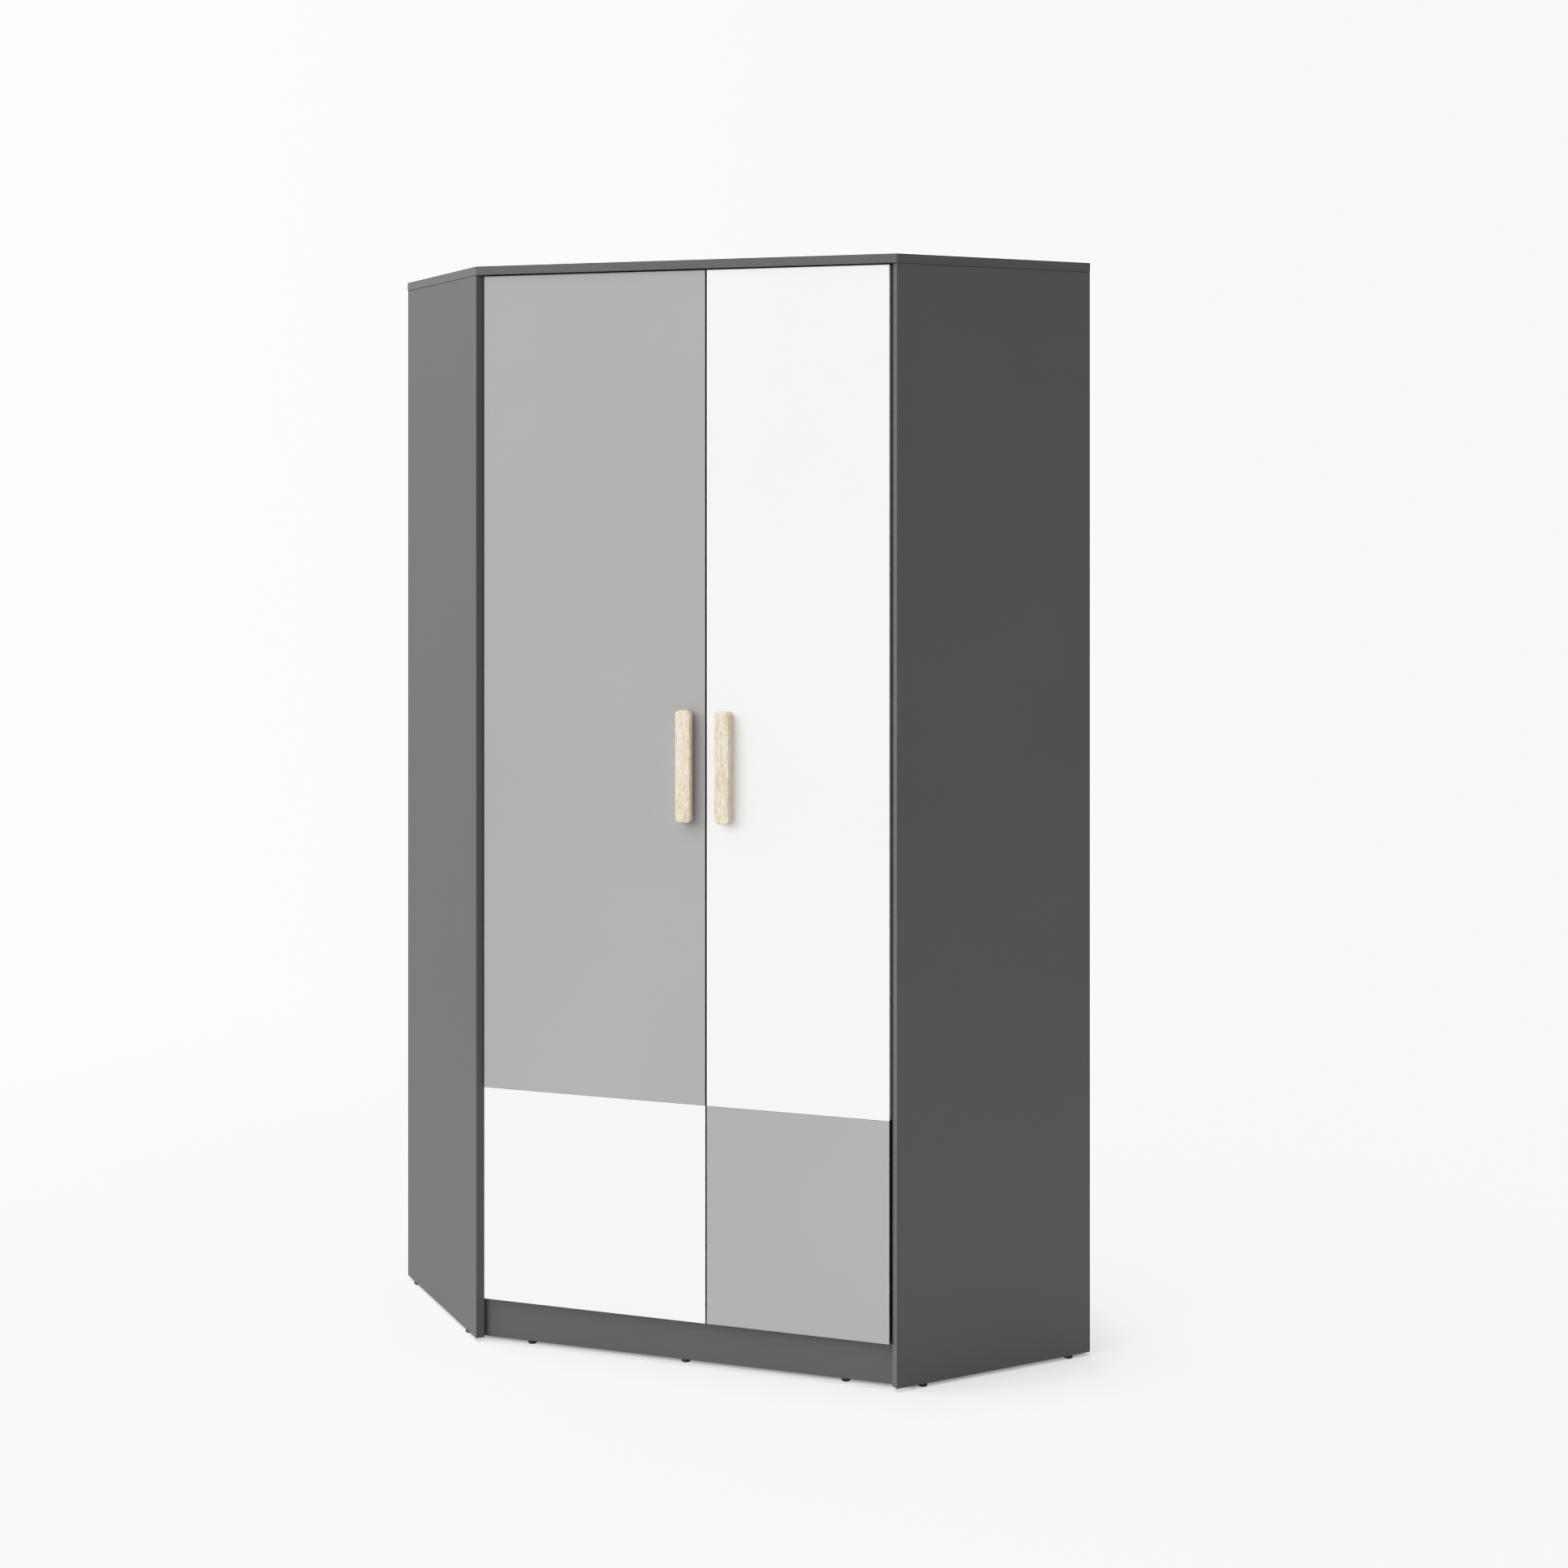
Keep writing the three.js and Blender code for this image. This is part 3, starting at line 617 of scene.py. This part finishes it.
CUP = [(0, -2.75), (15.9, -2.75), (17, -2.4), (17.5, -1.5), (17.5, 10.25), (19, 10.3), (19, 10.9)]
CUP += [(18.7, 11.25), (17.2, 11.25), (16.9, 11), (16.9, -0.6), (16.3, -1.7), (15, -2.15), (0, -2.15)]
EAR = arc(2.5, 23, 6, 0, 90, 6) + arc(-2.5, 23, 6, 90, 180, 6) + arc(0, 0, 17.2, 119.6, 60.4, 8)
EYE = [(1.25, -4), (1.85, -4), (2.05, -3.8), (2.05, 3.8), (1.85, 4), (1.25, 4)]
GOOSE = ribbon([(1.4, 0), (14, 0), (14, 14.5), (-8.595, 14.5), (-43.95, 49.855)], 0.8, 2.6)
CHANNEL = [(0.95, -5.8), (0.95, 5.8), (-5, 5.8), (-5, 4.6)]
CHANNEL += [(-0.95, 4.6), (-0.95, -4.6), (-5, -4.6), (-5, -5.8)]
wing = [(7.5, 9), *arc(2.5, 19, 5, 0, 90, 6), *arc(-2.5, 19, 5, 90, 180, 6), (-7.5, 9)]
wing += [*arc(-13, 6, 3, 90, 180, 4), *arc(-13, -6, 3, 180, 270, 4), (-7.5, -9)]
wing += [*arc(-2.5, -19, 5, 180, 270, 6), *arc(2.5, -19, 5, 270, 360, 6), (7.5, -9)]
wing += [*arc(13, -6, 3, 270, 360, 4), *arc(13, 6, 3, 0, 90, 4)]


# A matrix in metres whose axes point along the given directions
def axes(origin, x, y, z):
    place = Matrix((x, y, z)).transposed().to_4x4()
    place.translation = Vector(origin) * MM
    return place


# One hinge: the cup with its ears and pin, the arm from its eye to its channel, and the mounting plate
def make_hinge(body, index, side, height, cup_screws, fixed_screws):
    pin = PIN_START if side > 0 else FRONT_LENGTH - PIN_START
    centre = on_front(pin, PIN_LINE, height) @ Matrix.Scale(side, 4, X_AXIS)
    cup_middle = centre @ at_point(CUP_OFFSET, 0, 0) @ FACE_IN
    bm = bmesh.new()
    lathe(bm, CUP, 64, cup_middle)
    plate(bm, EAR, EAR_LOW, EAR_HIGH, cup_middle, 0.25)
    plate(bm, [(x, -y) for x, y in EAR], EAR_LOW, EAR_HIGH, cup_middle, 0.25)
    lathe(bm, [(0, -10.1), (0.8, -10.1), (1, -9.9), (1, 9.9), (0.8, 10.1), (0, 10.1)], 20, centre)
    name = f"{body}_hinge_{index}"
    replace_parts(add_piece(name + "_bowl", bm, nickel, body), name + "_cup")
    for z in (-22.5, 22.5):
        screw(cup_screws, centre @ at_point(CUP_OFFSET, EAR_HIGH, z) @ FACE_IN, 3.8, 1.3)

    along_arm = centre @ axes(ARM_TURN, INWARD, Z_AXIS, PANEL_WAY)
    bm = bmesh.new()
    lathe(bm, EYE, 24, centre, closed=True)
    plate(bm, GOOSE, -4, 4, centre, 0.25)
    plate(bm, CHANNEL, 7, 50, along_arm, 0.35)
    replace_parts(add_piece(name + "_goose", bm, nickel, "carcass"), name + "_arm")
    for way, radius in ((22, 3.2), (37, 3.8)):
        spot = ARM_TURN + PANEL_WAY * way + INWARD * 0.95
        screw(fixed_screws, centre @ axes(spot, PANEL_WAY, Z_AXIS, INWARD), radius, 1.1)

    if side > 0:
        mount = at_point(PANEL_FACE, MOUNT_REACH, height) @ SIDEWAYS
    else:
        mount = at_point(MOUNT_REACH, PANEL_FACE, height) @ turned("Z", 90) @ SIDEWAYS
    bm = bmesh.new()
    plate(bm, wing, 0.05, 2.3, mount, 0.4, 3)
    plate(bm, round_box(26, 8, 1.5), 2.1, 8.9, mount, 0.5, 3)
    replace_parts(add_piece(name + "_base", bm, nickel, "carcass"), name + "_plate")
    for z in (-17, 17):
        screw(fixed_screws, mount @ at_point(0, z, 2.3), 3.9, 1.5)


# Joining plates: middle height, inner face, and how far their end screws sit from their ends
SPLIT_HEIGHT = 462
JOINING_FACE = 22.3
SCREW_INSET = 15


# Hinges and screws of one door, whose joining plate runs from start to end
def fit_door(body, side, start, end):
    moving = bmesh.new()
    fixed = bmesh.new()
    for i, height in enumerate(HINGE_HEIGHTS):
        make_hinge(body, i + 1, side, height, moving, fixed)
    for i in range(5):
        for height in (-18, 18):
            along = start + SCREW_INSET + (end - start - 2 * SCREW_INSET) * i / 4
            place = on_front(along, JOINING_FACE, SPLIT_HEIGHT + height)
            screw(moving, place @ FACE_IN, 3.9, 1.5)
    for height in (-64, 64):
        along = GAP_CENTRE - side * HANDLE_REACH
        screw(moving, on_front(along, DOOR_BACK, HANDLE_HEIGHT + height) @ FACE_IN, 4.5, 2.2)
    add_piece(body + "_screws", moving, zinc, body, sharp=30)
    add_piece(body + "_mount_screws", fixed, zinc, "carcass", sharp=30)
    finish_board(body + "_joining_plate", zinc)


fit_door("left_door", 1, 44.314, 410.13)
fit_door("right_door", -1, 473.43, 746.24)

# Spoon-shaped pins under the side shelves
SPOON = [(0, 0), (0, -11), (1.4, -11), (1.4, -1.6), (8.5, -1.6), (8.5, 0)]
PARTITION_FACE = -222.5
PIN_PLACES = [(-85, PARTITION_FACE, 180), (418, PARTITION_FACE, 180)]
PIN_PLACES += [(152, PANEL_FACE, 0), (418, PANEL_FACE, 0)]
bm = bmesh.new()
for shelf in range(1, 5):
    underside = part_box(f"side_shelf_{shelf}")[0][2] / MM
    for x, y, turn in PIN_PLACES:
        place = at_point(x, y, underside) @ turned("Z", turn) @ SIDEWAYS
        plate(bm, SPOON, -5, 5, place, 0.4)
add_piece("shelf_pins", bm, nickel, "carcass")

# Covers over the connectors below the hat shelf and the top board
bm = bmesh.new()
HAT_SHELF_LOW = 1646
TOP_LOW = 1934
COVER = [(0, 0), (8.5, 0), (8.5, 0.35), (8.2, 0.75), (7.2, 0.95), (0, 1.05)]
spots = [(x, y, HAT_SHELF_LOW) for x, y in ((-427, 130), (-427, 400), (-90, -172), (400, -172))]
spots += [(x, y, TOP_LOW) for x, y in ((-427, 130), (-427, 400), (130, -427), (400, -427))]
for x, y, z in spots:
    lathe(bm, COVER, 40, at_point(x, y, z) @ FACE_DOWN)
add_piece("connector_covers", bm, cap_plastic, "carcass")

# Soft bumpers on the front edge of the bottom board
DOME = [(0, 0), (4.5, 0), (4.5, 0.5), (4.2, 1.1), (3.4, 1.7), (2, 2.1), (0, 2.25)]
bm = bmesh.new()
for along in (60, 400, 484, 730):
    lathe(bm, DOME, 32, on_front(along, 22.5, 84) @ FACE_OUT)
add_piece("door_bumpers", bm, clear_rubber, "carcass")

# Nails along the edges of the thin backs
NAIL = [(0, -0.3), (2.4, -0.3), (2.4, 0.05), (2.0, 0.14), (0, 0.16)]
BACK_FACE = 477.8
bm = bmesh.new()
heights = [84 + 1850 * i / 16 for i in range(17)]
reaches = [-465 + 851 * i / 7 for i in range(8)]
nails = [(across, height) for across in (-465, 386) for height in heights]
nails += [(across, height) for across in reaches[1:-1] for height in (84, 1937)]
for across, height in nails:
    lathe(bm, NAIL, 12, at_point(across, BACK_FACE, height) @ FACE_IN)
    lathe(bm, NAIL, 12, at_point(BACK_FACE, across, height) @ turned("Y", 90))
add_piece("back_nails", bm, zinc, "carcass")


# Pale floor that fades into the backdrop and is lit mostly by its own glow, a painted light with painted
# shade in it
material, tree, shader, at, _ = new_material("floor", specular=0.0)
shader.inputs["Roughness"].default_value = 0.9
shader.inputs["Base Color"].default_value = (0.1, 0.1, 0.1, 1.0)
outside = None
footprint = [(1, 0, 0, 0.478), (0, 1, 0, 0.478), (-1, 0, 0, 0.455), (0, -1, 0, 0.474)]
footprint += [(-HALF, -HALF, 0, 0.254)]
for x, y, z, offset in footprint:
    gap = math_node(tree, "SUBTRACT", dot(tree, at, (x, y, z)), offset)
    outside = gap if outside is None else math_node(tree, "MAXIMUM", outside, gap)
path = tree.nodes.new("ShaderNodeLightPath")
# Painted shade: the glow dims towards the right of the front, as under light from the left
painted_glow_and_shade = spread(tree, dot(tree, at, (0.892, -0.451, 0.0)), -1.4, 1.4, 0.70, 0.60)
# Painted contact shadow: the glow stops under the footprint
painted_glow_and_shade = math_node(tree, "MULTIPLY", painted_glow_and_shade, spread(tree, outside, -0.025, 0.01))
# Painted shade: the glow is darker within 0.2 m outside the footprint
painted_glow_and_shade = math_node(tree, "MULTIPLY", painted_glow_and_shade, spread(tree, outside, 0.0, 0.2, 0.9, 1.0))
# The glow that lights the wardrobe is only 8 to 60 percent of what the lens sees, rising from left to right
# along the front
along = dot(tree, at, ALONG)
unseen_left = spread(tree, along, -0.8, -0.3, 0.08, 0.36)
unseen_right = spread(tree, along, 0.3, 0.8, 0.0, 0.24)
unseen = math_node(tree, "ADD", unseen_left, unseen_right)
painted_glow_and_shade = math_node(tree, "MULTIPLY", painted_glow_and_shade, spread(tree, path.outputs["Is Camera Ray"], 0.0, 1.0, unseen, 1.0))
shader.inputs["Emission Color"].default_value = (1.0, 1.0, 1.0, 1.0)
tree.links.new(painted_glow_and_shade, shader.inputs["Emission Strength"])
far = tree.nodes.new("ShaderNodeVectorMath")
far.operation = "LENGTH"
tree.links.new(at, far.inputs[0])
clear = tree.nodes.new("ShaderNodeBsdfTransparent")
blend = tree.nodes.new("ShaderNodeMixShader")
tree.links.new(spread(tree, far.outputs["Value"], 1.2, 3.2), blend.inputs[0])
tree.links.new(shader.outputs[0], blend.inputs[1])
tree.links.new(clear.outputs[0], blend.inputs[2])
tree.links.new(blend.outputs[0], tree.nodes["Material Output"].inputs["Surface"])
bm = bmesh.new()
bmesh.ops.create_circle(bm, cap_ends=True, segments=96, radius=4.0)
mesh = bpy.data.meshes.new("floor")
bm.to_mesh(mesh)
bm.free()
mesh.materials.append(material)
floor = bpy.data.objects.new("floor", mesh)
bpy.context.scene.collection.objects.link(floor)

# Backdrop: the lens sees plain pale grey, and the boards are lit by a wide soft light from the left and a
# weaker one from behind on the right
world = bpy.data.worlds.new("studio")
bpy.context.scene.world = world
world.use_nodes = True
tree = world.node_tree
back = tree.nodes["Background"]
place = tree.nodes.new("ShaderNodeTexCoord")
height = dot(tree, place.outputs["Generated"], (0.0, 0.0, 1.0))
side = dot(tree, place.outputs["Generated"], (-1.0, 0.0, 0.0))
above = 0.05
for azimuth, elevation, width, strength in ((172, 22, 2.0, 4.25), (15, 15, 8.0, 9.0)):
    turn = Matrix.Rotation(math.radians(azimuth), 3, "Z") @ Matrix.Rotation(math.radians(-elevation), 3, "Y")
    lobe = math_node(tree, "MAXIMUM", dot(tree, place.outputs["Generated"], turn @ X_AXIS), 0.0)
    above = math_node(tree, "MULTIPLY_ADD", math_node(tree, "POWER", lobe, width), strength, above)
light = mix(tree, spread(tree, height, -0.02, 0.05), (0.62, 0.62, 0.62, 1.0), above)
path = tree.nodes.new("ShaderNodeLightPath")
plain = mix(tree, spread(tree, side, -0.62, -0.12), (1.27, 1.27, 1.27, 1.0), (1.8, 1.8, 1.8, 1.0))
tree.links.new(mix(tree, path.outputs["Is Camera Ray"], light, plain), back.inputs["Color"])


# A far soft light that falls only on the named objects, from the direction given
def add_light(name, softness, strength, toward, receivers):
    only = bpy.data.collections.new("lit_by_" + name)
    for receiver in receivers:
        only.objects.link(receiver)
    data = bpy.data.lights.new(name, "SUN")
    data.angle = math.radians(softness)
    data.energy = strength * math.pi
    light = bpy.data.objects.new(name, data)
    light.light_linking.receiver_collection = only
    light.rotation_euler = Vector(toward).to_track_quat("Z", "Y").to_euler()
    bpy.context.scene.collection.objects.link(light)


# Two lights for the floor, which set the shadow under the wardrobe, and fills for two narrow faces: the
# right side of the handles and the front edge of the right side panel
add_light("floor_near", 10, 2.0, (-0.05, 0.05, 1.0), [floor])
add_light("floor_wide", 50, 3.3, (-0.2, 0.2, 1.0), [floor])
add_light("handle_side", 40, 0.3, (0.6, -0.7, 0.3), handles)
add_light("panel_edge", 30, 0.38, (-1.0, 0.1, 0.15), [nodes["right_side_panel"]])

# Camera of the photograph, level, with the picture plane upright
data = bpy.data.cameras.new("camera")
data.sensor_width = 36.0
data.lens = 55.586
data.shift_y = -0.1890
data.clip_end = 100.0
camera = bpy.data.objects.new("camera", data)
bpy.context.scene.collection.objects.link(camera)
camera.location = (-1.96021, -4.08755, 1.54882)
camera.rotation_euler = (math.pi / 2, 0.0, math.radians(63.1725 - 90.0))
bpy.context.scene.camera = camera

# Tones: straight up to pale grey, with a soft shoulder for the whites
view = bpy.context.scene.view_settings
view.view_transform = "Standard"
view.use_curve_mapping = True
shoulder = view.curve_mapping
shoulder.clip_max_x = 4.0
shoulder.update()
curve = shoulder.curves[3]
curve.points[-1].location = (4.0, 1.0)
for x, y in ((0.62, 0.62), (0.8, 0.785), (0.95, 0.885), (1.13, 0.93), (1.4, 0.957), (1.8, 0.985)):
    curve.points.new(x, y)
for point in curve.points:
    point.handle_type = "VECTOR"
shoulder.update()
